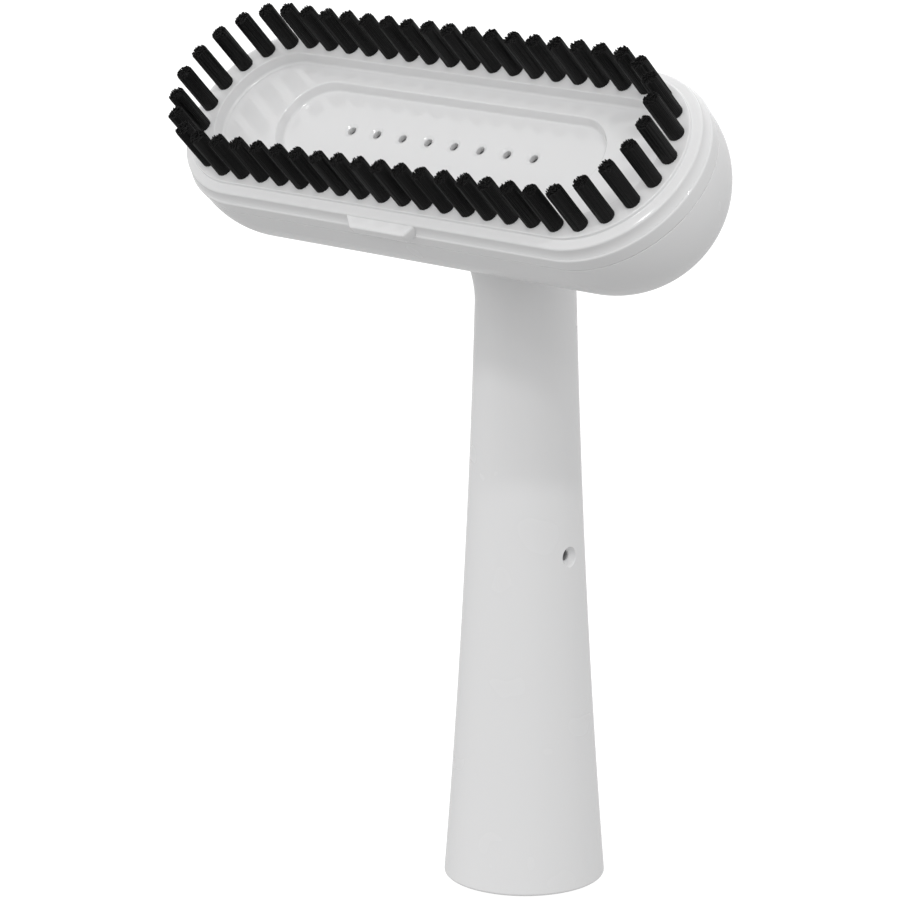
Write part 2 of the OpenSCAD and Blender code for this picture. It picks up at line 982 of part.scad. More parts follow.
module power_slider() {
  color([0.3, 0.32, 0.35])
    union() {
      translate([-1.4, 3, slider_height + 0.8])
        cube([2.8, 6, 2.6]);
      translate([-3.6, 8.6, slider_height - 6.4])
        cube([7.2, 1.2, 18]);
      intersection() {
        translate([0, 0, slider_height + 0.2])
          pill(5.2, 5.2 + gap, 9, 18);
        translate([0, 0, slider_height - 4])
          cylinder(r = side_radius(slider_height) + 1.1, h = 10, $fn = 2 * fine);
      }
    }
}

module status_lamp() {
  color([0.9, 0.5, 0.2])
    translate([0, board_front, lamp_height])
      rotate([-90, 0, 0]) {
        cylinder(r = 1.9, h = 1, $fn = 32);
        cylinder(r = 1.5, h = 4, $fn = 32);
        translate([0, 0, 4])
          sphere(r = 1.5, $fn = 32);
      }
}

module lamp_lens() {
  color([0.85, 0.9, 0.95, 0.6])
    union() {
      intersection() {
        translate([0, 6.2, lamp_height])
          rotate([-90, 0, 0])
            cylinder(r = 1.55, h = 12, $fn = 32);
        translate([0, 0, lamp_height - 4])
          cylinder(r = side_radius(lamp_height) + 0.2, h = 8, $fn = 2 * fine);
      }
      translate([0, 6.2, lamp_height])
        rotate([-90, 0, 0])
          cylinder(r = 2.6, h = 1.2, $fn = 32);
    }
}

// Round disc or tube that points straight back out of the foot of the handle
module gland_ring(radius, front, length) {
  translate([0, front, gland_height])
    rotate([-90, 0, 0])
      cylinder(r = radius, h = length, $fn = 64);
}

module cord_gland() {
  color([0.12, 0.12, 0.13])
    difference() {
      union() {
        gland_ring(5, 15.4, 1.3);
        gland_ring(4, 15.4, 6);
        difference() {
          gland_ring(5.2, 18, 3.6);
          handle_form(0.1, 5, 26);
        }
        translate([0, 21.6, gland_height])
          rotate([-90, 0, 0])
            cylinder(r1 = 5.2, r2 = 4.2, h = 1.8, $fn = 64);
      }
      gland_ring(cord_radius, 10, 20);
    }
}

module base_weight() {
  color([0.4, 0.41, 0.43])
    difference() {
      translate([0, 0, 4.1])
        cylinder(r = 17.2, h = 5, $fn = fine);
      for (turn = [60, 180, 300])
        rotate([0, 0, turn]) {
          translate([0, 13, 3])
            cylinder(r = 2.9, h = 10, $fn = 32);
          translate([-2.9, 13, 3])
            cube([5.8, 8, 10]);
        }
    }
}

module base_cap() {
  color([0.93, 0.93, 0.94])
    difference() {
      translate([0, 0, 1.6])
        cylinder(r = 18.3, h = 2.45, $fn = fine);
      for (turn = [60, 180, 300])
        rotate([0, 0, turn])
          translate([0, 13, 0]) {
            translate([0, 0, 1])
              cylinder(r = 2.3, h = 2, $fn = 32);
            translate([0, 0, 1])
              cylinder(r = 1.2, h = 5, $fn = 24);
          }
    }
}

module base_screws() {
  color([0.6, 0.6, 0.62])
    for (turn = [60, 180, 300])
      rotate([0, 0, turn])
        translate([0, 13, 1.7]) {
          cylinder(r = 2.1, h = 1.25, $fn = 32);
          cylinder(r = 1, h = 10, $fn = 24);
        }
}

module base_pad() {
  color([0.2, 0.2, 0.21])
    cylinder(r = 18.2, h = 1.6, $fn = fine);
}

handle_shell();
head_rear_shell();
front_bezel();
brush_frame();
bristle_tufts();
steam_plate();
plate_gasket();
boiler_body();
boiler_gasket();
boiler_cover();
boiler_screws();
boiler_mount_screws();
heating_element();
thermostat();
thermal_fuse();
heat_shield();
water_tank();
fill_plug();
plug_seal();
neck_nut();
head_screws();
suction_tube();
feed_tube();
pump_body();
pump_coil();
pump_yoke();
pump_plunger();
pump_spring();
pump_cushions();
control_board();
board_screws();
micro_switch();
steam_button();
button_spring();
power_switch();
power_slider();
status_lamp();
lamp_lens();
cord_gland();
base_weight();
base_cap();
base_screws();
base_pad();
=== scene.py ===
import json
import math
import random

import bmesh
import bpy
from mathutils import Matrix, Vector


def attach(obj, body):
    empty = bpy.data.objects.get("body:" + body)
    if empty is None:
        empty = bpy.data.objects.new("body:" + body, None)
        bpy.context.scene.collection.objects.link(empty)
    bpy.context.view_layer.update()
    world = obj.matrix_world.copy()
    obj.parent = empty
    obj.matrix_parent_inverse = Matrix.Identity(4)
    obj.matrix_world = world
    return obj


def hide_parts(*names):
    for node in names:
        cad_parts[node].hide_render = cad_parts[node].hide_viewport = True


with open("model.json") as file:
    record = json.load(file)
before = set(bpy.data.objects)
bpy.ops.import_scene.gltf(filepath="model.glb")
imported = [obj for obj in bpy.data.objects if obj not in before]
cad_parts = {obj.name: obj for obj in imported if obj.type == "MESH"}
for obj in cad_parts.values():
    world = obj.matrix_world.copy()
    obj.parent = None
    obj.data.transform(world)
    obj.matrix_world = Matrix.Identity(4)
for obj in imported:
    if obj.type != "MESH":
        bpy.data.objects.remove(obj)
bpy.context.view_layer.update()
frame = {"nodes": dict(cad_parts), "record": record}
NODES = frame["nodes"]

# ---------------------------------------------------------------- sizes, in millimetres
MM = 0.001
WELD = 0.002             # points closer than this become one
TILT = math.radians(45)
HEAD_L = 54.8            # half length of the head's straight part
HEAD_R = 27.4
ROUND_D = 9.7            # depth of the middle of the head's round back
SPLIT_D = 8.8            # depth of the seam between bezel and rear shell
HANDLE_H = 226.4         # height where the handle's long side curve would be upright
HANDLE_TOP_R = 12.0
HANDLE_FOOT_R = 20.94
HANDLE_WALL = 2.2
FOOT_Z = 0.3             # height of the handle's edge over the table
BEND_Z = 151.5           # height where the neck starts to bend
BEND_R = 32.3
NECK_LEN = 36.55
NECK_EASE = 6.0          # length over which the taper dies out after the bend starts
NECK_INTO_HEAD = math.radians(9)     # the neck bends on by this much inside the head
REACH = BEND_R * (1 - math.cos(TILT)) + NECK_LEN * math.sin(TILT)
FACE_Z = BEND_Z + BEND_R * math.sin(TILT) + NECK_LEN * math.cos(TILT)
HEAD_WALL = 2.0
TUFT_PITCH = 7.0
TUFTS = 50
TUFT_H = 13.3
TUFT_SUNK = 0.4          # how far the tufts start below the ring's face
RING_R = (TUFT_PITCH * TUFTS - 4 * HEAD_L) / (2 * math.pi)
BEZEL_D = 3.15           # depth of the bezel's face, which the ring lies on
RECESS_L = 41.4          # half length of the recess's straight part
PLATE_D = 5.5            # depth of the steam plate under the ring's top
HOLE_PITCH = 8.76
HOLES = 8
SIDE_HOLE_Z = 88.0
SIDE_HOLE_R = 1.35
BUTTON_Z = 136.0
SLIDER_Z = 98.5
LAMP_Z = 117.0
GLAND_Z = 15.0
PLUG_X = -38.0

HEAD_SCREWS_X = 66
HEAD_SCREWS_Y = 12

HEAD = Matrix.Translation((0, -REACH, FACE_Z)) @ Matrix.Rotation(TILT, 4, "X")
BACKWARD = Matrix.Rotation(math.radians(-90), 4, "X")     # turns +Z to +Y
SIDEWAYS = Matrix.Rotation(math.radians(90), 4, "Y")      # turns +Z to +X
PLUG = (HEAD @ Matrix.Translation((PLUG_X, 0, -ROUND_D))
        @ Matrix.Rotation(-math.radians(90) - TILT, 4, "X"))


def side_radius(z):
    """Radius of the handle at height z."""
    drop = HANDLE_FOOT_R - HANDLE_TOP_R
    arc = (HANDLE_H ** 2 + drop ** 2) / (2 * drop)
    return HANDLE_TOP_R + arc - math.sqrt(arc ** 2 - (HANDLE_H - z) ** 2)


def side_slope(z):
    """How fast that radius changes with height."""
    return (side_radius(z + 0.05) - side_radius(z - 0.05)) / 0.1


# ---------------------------------------------------------------- mesh helpers
def arc_points(cx, cy, r, a0, a1, n):
    """Points on an arc from a0 to a1 degrees, both ends included."""
    return [(cx + r * math.cos(math.radians(a0 + (a1 - a0) * i / n)),
             cy + r * math.sin(math.radians(a0 + (a1 - a0) * i / n))) for i in range(n + 1)]


def finish_mesh(name, bm, matrix=Matrix.Identity(4), sharp=40):
    """Object of a bmesh drawn in millimetres, welded, turned outward and shaded smooth."""
    bmesh.ops.remove_doubles(bm, verts=bm.verts, dist=WELD)
    thin = [f for f in bm.faces if f.calc_area() < 1e-9]
    bmesh.ops.delete(bm, geom=thin, context="FACES")
    bmesh.ops.recalc_face_normals(bm, faces=bm.faces)
    bm.transform(Matrix.Scale(MM, 4) @ matrix)
    mesh = bpy.data.meshes.new(name)
    bm.to_mesh(mesh)
    bm.free()
    mesh.polygons.foreach_set("use_smooth", [True] * len(mesh.polygons))
    mesh.set_sharp_from_angle(angle=math.radians(sharp))
    obj = bpy.data.objects.new(name, mesh)
    bpy.context.scene.collection.objects.link(obj)
    return obj


def add_grid(bm, rows, close_rows=True, close_cols=False, mark=0):
    """Quads between rows of points; a row is one station, a column one profile point."""
    grid = [[bm.verts.new(p) for p in row] for row in rows]
    count = len(grid)
    width = len(grid[0])
    for i in range(count if close_rows else count - 1):
        low, high = grid[i], grid[(i + 1) % count]
        for j in range(width if close_cols else width - 1):
            k = (j + 1) % width
            quad = [low[j], low[k], high[k], high[j]]
            if len(set(tuple(round(c, 5) for c in v.co) for v in quad)) < 3:
                continue
            face = bm.faces.new(quad)
            face.material_index = mark
    return grid


def stack(bm, rows):
    """Solid of closed outlines, one above the other, with a face on both ends."""
    add_grid(bm, rows, False, True)
    for outline in (rows[0], rows[-1]):
        bm.faces.new([bm.verts.new(p) for p in outline])


def stations(arc_steps, line_steps):
    """Places around an oval: how far along the straight (-1 to 1) and the outward angle."""
    spots = [(1, -90 + 180 * i / arc_steps) for i in range(arc_steps + 1)]
    spots += [(1 - 2 * i / line_steps, 90) for i in range(1, line_steps)]
    spots += [(-1, 90 + 180 * i / arc_steps) for i in range(arc_steps + 1)]
    spots += [(-1 + 2 * i / line_steps, 270) for i in range(1, line_steps)]
    return [(sx, math.cos(math.radians(a)), math.sin(math.radians(a))) for sx, a in spots]


def oval_rows(profile, half, arc_steps=48, line_steps=40):
    """Carries a profile of (distance, depth[, half length]) around an oval."""
    rows = []
    for sx, dx, dy in stations(arc_steps, line_steps):
        row = []
        for p in profile:
            length = p[2] if len(p) > 2 else half
            row.append(Vector((sx * length + p[0] * dx, p[0] * dy, -p[1])))
        rows.append(row)
    return rows


def lathe(bm, profile, steps, mark=0, close=False):
    """Turns a profile of (radius, height) about an upright line."""
    rows = []
    for i in range(steps):
        a = 2 * math.pi * i / steps
        rows.append([Vector((r * math.cos(a), r * math.sin(a), h)) for r, h in profile])
    add_grid(bm, rows, True, close, mark)


def pill_outline(width, height, inset=0.0):
    """Upright rounded slot shape, drawn in from its edge by an inset."""
    steps = 12
    r = max(width / 2 - inset, 0.02)
    flat = height / 2 - width / 2
    outline = [(x, h + flat) for x, h in arc_points(0, 0, r, 0, 180, steps)]
    outline += [(x, h - flat) for x, h in arc_points(0, 0, r, 180, 360, steps)]
    return outline


def rounded_outline(corners, radius, steps=8):
    """Convex outline with rounded corners, always with the same number of points."""
    out = []
    n = len(corners)
    for i in range(n):
        p, a, b = Vector(corners[i]), Vector(corners[i - 1]), Vector(corners[(i + 1) % n])
        da, db = (a - p).normalized(), (b - p).normalized()
        half = da.angle(db) / 2
        centre = p + (da + db).normalized() * (radius / math.sin(half))
        start = (p + da * (radius / math.tan(half))) - centre
        end = (p + db * (radius / math.tan(half))) - centre
        turn = math.pi - 2 * half
        sign = 1 if start.x * end.y - start.y * end.x > 0 else -1
        for k in range(steps + 1):
            t = sign * turn * k / steps
            out.append(centre + Vector((start.x * math.cos(t) - start.y * math.sin(t),
                                        start.x * math.sin(t) + start.y * math.cos(t))))
    return out


def inset_corners(corners, amount):
    """Corners of a convex polygon moved inward by an amount (counter-clockwise order)."""
    out = []
    n = len(corners)
    for i in range(n):
        p, a, b = Vector(corners[i]), Vector(corners[i - 1]), Vector(corners[(i + 1) % n])
        da, db = (p - a).normalized(), (b - p).normalized()
        na, nb = Vector((-da.y, da.x)), Vector((-db.y, db.x))
        m = (na + nb) / (1 + na.dot(nb))
        out.append(p + m * amount)
    return out


def cut(obj, cutter):
    """Takes the cutter away from obj for good."""
    mod = obj.modifiers.new("cut", "BOOLEAN")
    mod.operation = "DIFFERENCE"
    mod.solver = "EXACT"
    mod.object = cutter
    bpy.context.view_layer.update()
    mesh = bpy.data.meshes.new_from_object(obj.evaluated_get(bpy.context.evaluated_depsgraph_get()))
    obj.modifiers.clear()
    old = obj.data
    obj.data = mesh
    mesh.name = old.name
    bpy.data.meshes.remove(old)
    bpy.data.objects.remove(cutter)
    return obj


def true_normals(obj, normal_of):
    """Gives faces of the outer skin (first material) the normals of the exact surface."""
    mesh = obj.data
    mesh.polygons.foreach_set("use_smooth", [True] * len(mesh.polygons))
    mesh.set_sharp_from_angle(angle=math.radians(32))
    normals = [Vector((0, 0, 0))] * len(mesh.loops)
    for poly in mesh.polygons:
        if poly.material_index:
            continue
        for loop in poly.loop_indices:
            co = mesh.vertices[mesh.loops[loop].vertex_index].co
            n = normal_of(co / MM)
            if n is not None and n.dot(poly.normal) > 0.9:
                normals[loop] = n
    mesh.normals_split_custom_set(normals)


def give(obj, material, body, slot, *replaced):
    """Puts the finish on a piece and says what it rides on and what it stands for."""
    for i in range(max(1, len(obj.data.materials))):
        if i < len(obj.data.materials):
            obj.data.materials[i] = material
        else:
            obj.data.materials.append(material)
    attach(obj, body)
    if replaced:
        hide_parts(*replaced)


def two_marks(obj):
    """Two empty material places, so that a cut can tell the outer skin from the rest."""
    while len(obj.data.materials) < 2:
        obj.data.materials.append(bpy.data.materials.new("mark"))
    return obj


# ---------------------------------------------------------------- materials
def material(name, colour, roughness, metallic=0.0, grain=900.0, grain_depth=0.02,
             mottle=0.04, wear=0.0, transmission=0.0, subsurface=0.0, rough_spread=0.06,
             stretch=(1, 1, 1), specular=0.5, sheen=0.0):
    """Moulded or cast finish: fine grain as bump, soft mottling and uneven gloss."""
    mat = bpy.data.materials.new(name)
    mat.use_nodes = True
    tree = mat.node_tree
    n, link = tree.nodes, tree.links.new
    n.clear()
    out = n.new("ShaderNodeOutputMaterial")
    bsdf = n.new("ShaderNodeBsdfPrincipled")
    link(bsdf.outputs[0], out.inputs[0])
    bsdf.inputs["Metallic"].default_value = metallic
    bsdf.inputs["Specular IOR Level"].default_value = specular
    bsdf.inputs["Transmission Weight"].default_value = transmission
    bsdf.inputs["Sheen Weight"].default_value = sheen
    bsdf.inputs["Subsurface Weight"].default_value = subsurface
    bsdf.inputs["Subsurface Radius"].default_value = (1.0, 0.9, 0.85)
    bsdf.inputs["Subsurface Scale"].default_value = 0.0012
    coords = n.new("ShaderNodeTexCoord")
    place = n.new("ShaderNodeMapping")
    place.inputs["Scale"].default_value = stretch
    link(coords.outputs["Object"], place.inputs["Vector"])

    def noise(scale, detail=3.0):
        tex = n.new("ShaderNodeTexNoise")
        tex.inputs["Scale"].default_value = scale
        tex.inputs["Detail"].default_value = detail
        tex.inputs["Roughness"].default_value = 0.55
        link(place.outputs[0], tex.inputs["Vector"])
        return tex.outputs["Fac"]

    def spread(value, low, high):
        node = n.new("ShaderNodeMapRange")
        node.interpolation_type = "SMOOTHSTEP"
        node.inputs["From Min"].default_value = 0.2
        node.inputs["From Max"].default_value = 0.8
        node.inputs["To Min"].default_value = low
        node.inputs["To Max"].default_value = high
        link(value, node.inputs["Value"])
        return node.outputs[0]

    # Colour: broad soft mottling, and a paler or darker bloom where wear shows
    ramp = n.new("ShaderNodeValToRGB")
    ramp.color_ramp.interpolation = "EASE"
    ramp.color_ramp.elements[0].position = 0.25
    ramp.color_ramp.elements[1].position = 0.75
    ramp.color_ramp.elements[0].color = [c * (1 - mottle) for c in colour[:3]] + [1]
    ramp.color_ramp.elements[1].color = [min(1, c * (1 + mottle)) for c in colour[:3]] + [1]
    link(noise(22.0, 2.0), ramp.inputs[0])
    tint = ramp.outputs[0]
    if wear:
        geo = n.new("ShaderNodeNewGeometry")
        edge = n.new("ShaderNodeMapRange")
        edge.inputs["From Min"].default_value = 0.505
        edge.inputs["From Max"].default_value = 0.56
        link(geo.outputs["Pointiness"], edge.inputs["Value"])
        worn = n.new("ShaderNodeMath")
        worn.operation = "MULTIPLY"
        link(edge.outputs[0], worn.inputs[0])
        link(spread(noise(240.0), 0.0, wear), worn.inputs[1])
        mix = n.new("ShaderNodeMix")
        mix.data_type = "RGBA"
        link(worn.outputs[0], mix.inputs["Factor"])
        link(tint, mix.inputs["A"])
        mix.inputs["B"].default_value = [min(1, c * 1.25 + 0.03) for c in colour[:3]] + [1]
        tint = mix.outputs["Result"]
    link(tint, bsdf.inputs["Base Color"])
    link(spread(noise(60.0, 1.5), roughness - rough_spread, roughness + rough_spread),
         bsdf.inputs["Roughness"])
    bump = n.new("ShaderNodeBump")
    bump.inputs["Strength"].default_value = grain_depth
    bump.inputs["Distance"].default_value = 0.0004
    link(noise(grain, 2.0), bump.inputs["Height"])
    link(bump.outputs[0], bsdf.inputs["Normal"])
    return mat


WHITE = (0.78, 0.78, 0.783)
MOULDED = {"grain": 2600, "grain_depth": 0.012, "mottle": 0.004, "rough_spread": 0.02}
SHELL = material("white_plastic", WHITE, 0.26, subsurface=0.05, specular=0.2, **MOULDED)
BEZEL = material("bezel_plastic", WHITE, 0.09, subsurface=0.05, specular=0.5, **MOULDED)
RING = material("ring_plastic", WHITE, 0.14, subsurface=0.05, specular=0.45, **MOULDED)
PLATE = material("plate_plastic", WHITE, 0.06, subsurface=0.03, **MOULDED)
# Mid grey for the boss inside the countersunk hole: painted shade in the bore, not the white plastic's
# own colour
BORE_SHADE = material("bore_plastic", (0.36, 0.36, 0.365), 0.5, grain=2400, grain_depth=0.05, specular=0.2)
BRISTLE = material("bristle_nylon", (0.0014, 0.0014, 0.0015), 0.46, grain=2600, grain_depth=0.15,
                   mottle=0.25, specular=0.27)
SOFT_GREY = material("soft_touch", (0.24, 0.25, 0.27), 0.55, grain=2400, grain_depth=0.12, mottle=0.05,
                     wear=0.15, sheen=0.1)
LENS = material("lens_plastic", (0.78, 0.82, 0.86), 0.3, mottle=0.03, subsurface=0.3)
RUBBER = material("black_rubber", (0.022, 0.022, 0.023), 0.7, grain=1800, grain_depth=0.25, mottle=0.15)
STEEL = material("zinc_steel", (0.58, 0.58, 0.6), 0.3, metallic=1.0, grain=1600, grain_depth=0.1,
                 mottle=0.08, stretch=(1, 1, 6))
ALU = material("sheet_aluminium", (0.6, 0.61, 0.63), 0.35, metallic=1.0, grain=900, grain_depth=0.1,
               mottle=0.06, stretch=(1, 5, 1))
CAST = material("cast_aluminium", (0.5, 0.5, 0.52), 0.5, metallic=1.0, grain=1200, grain_depth=0.4,
                mottle=0.12)
INNER = material("inner_plastic", (0.66, 0.66, 0.66), 0.45, grain=1200, grain_depth=0.08, mottle=0.03)
SILICONE = material("red_silicone", (0.52, 0.13, 0.07), 0.55, grain=1400, grain_depth=0.1, mottle=0.08)
DARK = material("dark_plastic", (0.04, 0.04, 0.045), 0.45, grain=1500, grain_depth=0.1, mottle=0.12)
MICA = material("mica_sheet", (0.62, 0.57, 0.44), 0.5, grain=500, grain_depth=0.25, mottle=0.2)
CERAMIC = material("ceramic_white", (0.72, 0.7, 0.62), 0.35, mottle=0.06)
TANK = material("clear_tank", (0.62, 0.76, 0.86), 0.12, transmission=0.9, mottle=0.03)
HOSE = material("milky_hose", (0.7, 0.72, 0.74), 0.4, subsurface=0.3, mottle=0.04)
COPPER = material("taped_winding", (0.42, 0.15, 0.05), 0.4, grain=700, grain_depth=0.3, mottle=0.12,
                  stretch=(0.2, 0.2, 8))
BOARD = material("solder_mask", (0.025, 0.14, 0.07), 0.35, grain=600, grain_depth=0.1, mottle=0.15)
LAMP = material("lamp_diffuse", (0.8, 0.42, 0.14), 0.35, subsurface=0.3, mottle=0.05)
ELEMENT = material("heated_steel", (0.3, 0.27, 0.25), 0.42, metallic=1.0, grain=800, grain_depth=0.2,
                   mottle=0.25)
IRON = material("cast_weight", (0.2, 0.2, 0.21), 0.55, metallic=0.6, grain=700, grain_depth=0.5,
                mottle=0.2)

SLOT_LOOKS = {
    "white_shell": SHELL, "bezel": BEZEL, "brush_ring": RING, "bristle": BRISTLE, "plate": PLATE,
    "silicone": SILICONE, "cast_metal": CAST, "sheet_metal": ALU, "screw": STEEL,
    "element": ELEMENT, "dark_plastic": DARK, "ceramic": CERAMIC, "mica": MICA,
    "clear_tank": TANK, "soft_grey": SOFT_GREY, "black_rubber": RUBBER, "white_inner": INNER,
    "hose": HOSE, "coil": COPPER, "board": BOARD, "lamp": LAMP, "lens": LENS, "weight": IRON}
for part in frame["record"]["subparts"]:
    node = NODES[part["node"]]
    node.data.materials.clear()
    node.data.materials.append(SLOT_LOOKS[part["material_slot"]])


# ---------------------------------------------------------------- handle with its bent neck
def neck_radius(along):
    """Radius of the neck at a distance after the start of the bend."""
    along = min(along, NECK_EASE)
    return side_radius(BEND_Z) + side_slope(BEND_Z) * along * (1 - along / (2 * NECK_EASE))


def handle_ring(z, angle, radius, steps):
    """Circle of the handle at a height, or in the bend at an angle from its start."""
    up = Vector((0, math.cos(angle), math.sin(angle)))
    centre = Vector((0, -BEND_R + BEND_R * math.cos(angle), z + BEND_R * math.sin(angle)))
    side = Vector((1, 0, 0))
    return [centre + radius * (math.cos(2 * math.pi * i / steps) * side
                               + math.sin(2 * math.pi * i / steps) * up) for i in range(steps)]


def pill_cutter(bm, width, height, z, front, back):
    """Rounded slot through the back wall of the handle."""
    outline = pill_outline(width, height)
    lo = [bm.verts.new((x, front, z + h)) for x, h in outline]
    hi = [bm.verts.new((x, back, z + h)) for x, h in outline]
    n = len(outline)
    walls = [[lo[i], lo[(i + 1) % n], hi[(i + 1) % n], hi[i]] for i in range(n)]
    for corners in walls + [lo, hi[::-1]]:
        bm.faces.new(corners).material_index = 1


def tube_cutter(bm, profile, matrix, steps=48):
    """Round cutter: a closed profile of (radius, height), turned and then put in place."""
    part = bmesh.new()
    lathe(part, profile, steps, mark=1)
    part.transform(matrix)
    mesh = bpy.data.meshes.new("cutter_part")
    part.to_mesh(mesh)
    part.free()
    bm.from_mesh(mesh)
    bpy.data.meshes.remove(mesh)


def pin(radius, low, high):
    """Profile of a plain round cutter."""
    return [(0, low), (radius, low), (radius, high), (0, high)]


def build_handle():
    """Flared handle with its bent neck, one hollow moulding."""
    steps = 144
    bm = bmesh.new()
    skin = []
    # Foot rim, with a small rounded edge, then the long side curve
    rim, rim_steps = 0.7, 6
    rim_top = FOOT_Z + rim
    for x, z in arc_points(0, 0, rim, -90, 0, rim_steps):
        skin.append(handle_ring(rim_top + z, 0, side_radius(rim_top) - rim + x, steps))
    side_steps = 70
    for i in range(1, side_steps):
        z = rim_top + (BEND_Z - rim_top) * i / side_steps
        skin.append(handle_ring(z, 0, side_radius(z), steps))
    bend_steps = 40
    bend_end = TILT + NECK_INTO_HEAD
    for i in range(bend_steps + 1):
        angle = bend_end * i / bend_steps
        skin.append(handle_ring(BEND_Z, angle, neck_radius(BEND_R * angle), steps))
    inside = []
    for i in range(bend_steps, -1, -1):
        angle = bend_end * i / bend_steps
        inside.append(handle_ring(BEND_Z, angle, neck_radius(BEND_R * angle) - HANDLE_WALL, steps))
    for i in range(bend_steps, -1, -1):
        z = FOOT_Z + (BEND_Z - FOOT_Z) * i / (bend_steps + 1)
        inside.append(handle_ring(z, 0, side_radius(z) - HANDLE_WALL, steps))
    grid = skin + inside
    add_grid(bm, [list(col) for col in zip(*grid)], True, True)
    bmesh.ops.recalc_face_normals(bm, faces=bm.faces)
    outside = len(skin) - 1
    for index, face in enumerate(bm.faces):
        face.material_index = 0 if rim_steps <= index % len(grid) < outside else 1
    handle = finish_mesh("handle", bm, sharp=35)
    two_marks(handle)

    # Slots of the button and the slider, and the holes of the lamp and the gland
    cutter = bmesh.new()
    pill_cutter(cutter, 9.4, 22.4, BUTTON_Z, 6, 20)
    pill_cutter(cutter, 5.8, 10.6, SLIDER_Z + 2.6, 6, 20)
    place = Matrix.Translation((0, 0, LAMP_Z)) @ BACKWARD
    tube_cutter(cutter, pin(1.65, 6, 20), place)
    place = Matrix.Translation((0, 0, GLAND_Z)) @ BACKWARD
    tube_cutter(cutter, pin(4.05, 12, 26), place)
    # Countersunk hole: bore, cone and a slightly broken edge
    face = side_radius(SIDE_HOLE_Z)
    place = Matrix.Translation((0, 0, SIDE_HOLE_Z)) @ SIDEWAYS
    tube_cutter(cutter, [(0, 5), (SIDE_HOLE_R, 5), (SIDE_HOLE_R, face - 1.7), (2.52, face - 0.16),
                         (2.62, face - 0.04), (2.82, face + 0.16), (2.9, face + 1), (0, face + 1)],
                place, 64)
    tool = finish_mesh("cutter", cutter)
    two_marks(tool)
    cut(handle, tool)

    def normal_of(p):
        if p.z <= BEND_Z:
            r = math.hypot(p.x, p.y)
            return Vector((p.x / r, p.y / r, -side_slope(p.z))).normalized()
        angle = math.atan2(p.z - BEND_Z, p.y + BEND_R)
        centre = Vector((0, -BEND_R + BEND_R * math.cos(angle), BEND_Z + BEND_R * math.sin(angle)))
        slope = side_slope(BEND_Z) * max(0, 1 - BEND_R * angle / NECK_EASE)
        along = Vector((0, -math.sin(angle), math.cos(angle)))
        return ((p - centre).normalized() - along * slope).normalized()

    true_normals(handle, normal_of)
    give(handle, SHELL, "body", "white_shell", "handle_shell")

    # Boss behind the hole, so that its bore stays round inside; it is painted mid grey as shade inside
    # the bore, though the moulding is white
    boss_r, boss_top, boss_end = 3.4, face - 2.1, face - 5.25
    bm = bmesh.new()
    lathe(bm, [(SIDE_HOLE_R, boss_end), (SIDE_HOLE_R, boss_top), (boss_r, boss_top), (boss_r, boss_end)],
          48, close=True)
    boss = finish_mesh("hole_boss", bm, place, sharp=40)
    give(boss, BORE_SHADE, "body", "white_shell")


# ---------------------------------------------------------------- head
def build_rear_shell():
    """Rounded back of the head, with its screw holes, plug seat and neck passage."""
    edge = 0.35
    seam = SPLIT_D + 0.05
    profile = [(HEAD_R - 1.9, seam), (HEAD_R - edge, seam)]
    profile += arc_points(HEAD_R - edge, seam + edge, edge, -90, 0, 5)[1:]
    profile += arc_points(0, ROUND_D, HEAD_R, 0, 90, 44)
    profile += arc_points(0, ROUND_D, HEAD_R - HEAD_WALL, 90, 0, 30)
    bm = bmesh.new()
    rows = oval_rows(profile, HEAD_L, 56, 44)
    add_grid(bm, rows, True, True)
    # Inner and outer skin each run on over the middle line, so nothing joins them there
    middle = [f for f in bm.faces if all(abs(v.co.y) < 1e-4 for v in f.verts)]
    bmesh.ops.delete(bm, geom=middle, context="FACES")
    # The outer skin is whatever lies at the outer radius
    for face in bm.faces:
        face.material_index = 1
        c = face.calc_center_median()
        across = Vector((max(0, abs(c.x) - HEAD_L), c.y, c.z + ROUND_D))
        if across.length > HEAD_R - 0.3 and -c.z > SPLIT_D + 0.3:
            face.material_index = 0
    shell = finish_mesh("head_rear", bm, HEAD, sharp=35)
    two_marks(shell)
    cutter = bmesh.new()
    # Counterbores of the head screws, each with a broken edge
    for x in (-HEAD_SCREWS_X, HEAD_SCREWS_X):
        for y in (-HEAD_SCREWS_Y, HEAD_SCREWS_Y):
            reach = max(0, abs(x) - HEAD_L)
            depth = ROUND_D + math.sqrt(HEAD_R ** 2 - reach ** 2 - y ** 2)
            tube_cutter(cutter, [(0, -40), (3.4, -40), (3.4, -depth - 0.8), (2.6, -depth + 0.2),
                                 (2.6, -23), (0, -23)],
                        HEAD @ Matrix.Translation((x, y, 0)), 40)
    # Seat of the filling plug, and the passage of the neck
    tube_cutter(cutter, [(0, 20), (5.9, 20), (5.9, 26.4), (7.3, 26.4), (7.3, 27.0), (7.9, 27.8),
                         (8.2, 32), (0, 32)], PLUG, 72)
    tube_cutter(cutter, pin(9.3, -45, -25), HEAD, 64)
    tool = finish_mesh("cutter", cutter)
    two_marks(tool)
    cut(shell, tool)
    turn = HEAD.to_3x3()
    back = HEAD.inverted()

    def normal_of(p):
        q = back @ p
        n = Vector((math.copysign(max(0, abs(q.x) - HEAD_L), q.x), q.y, min(0, q.z + ROUND_D)))
        return (turn @ n).normalized() if n.length > 1 else None

    true_normals(shell, normal_of)
    give(shell, SHELL, "body", "white_shell", "head_rear_shell")


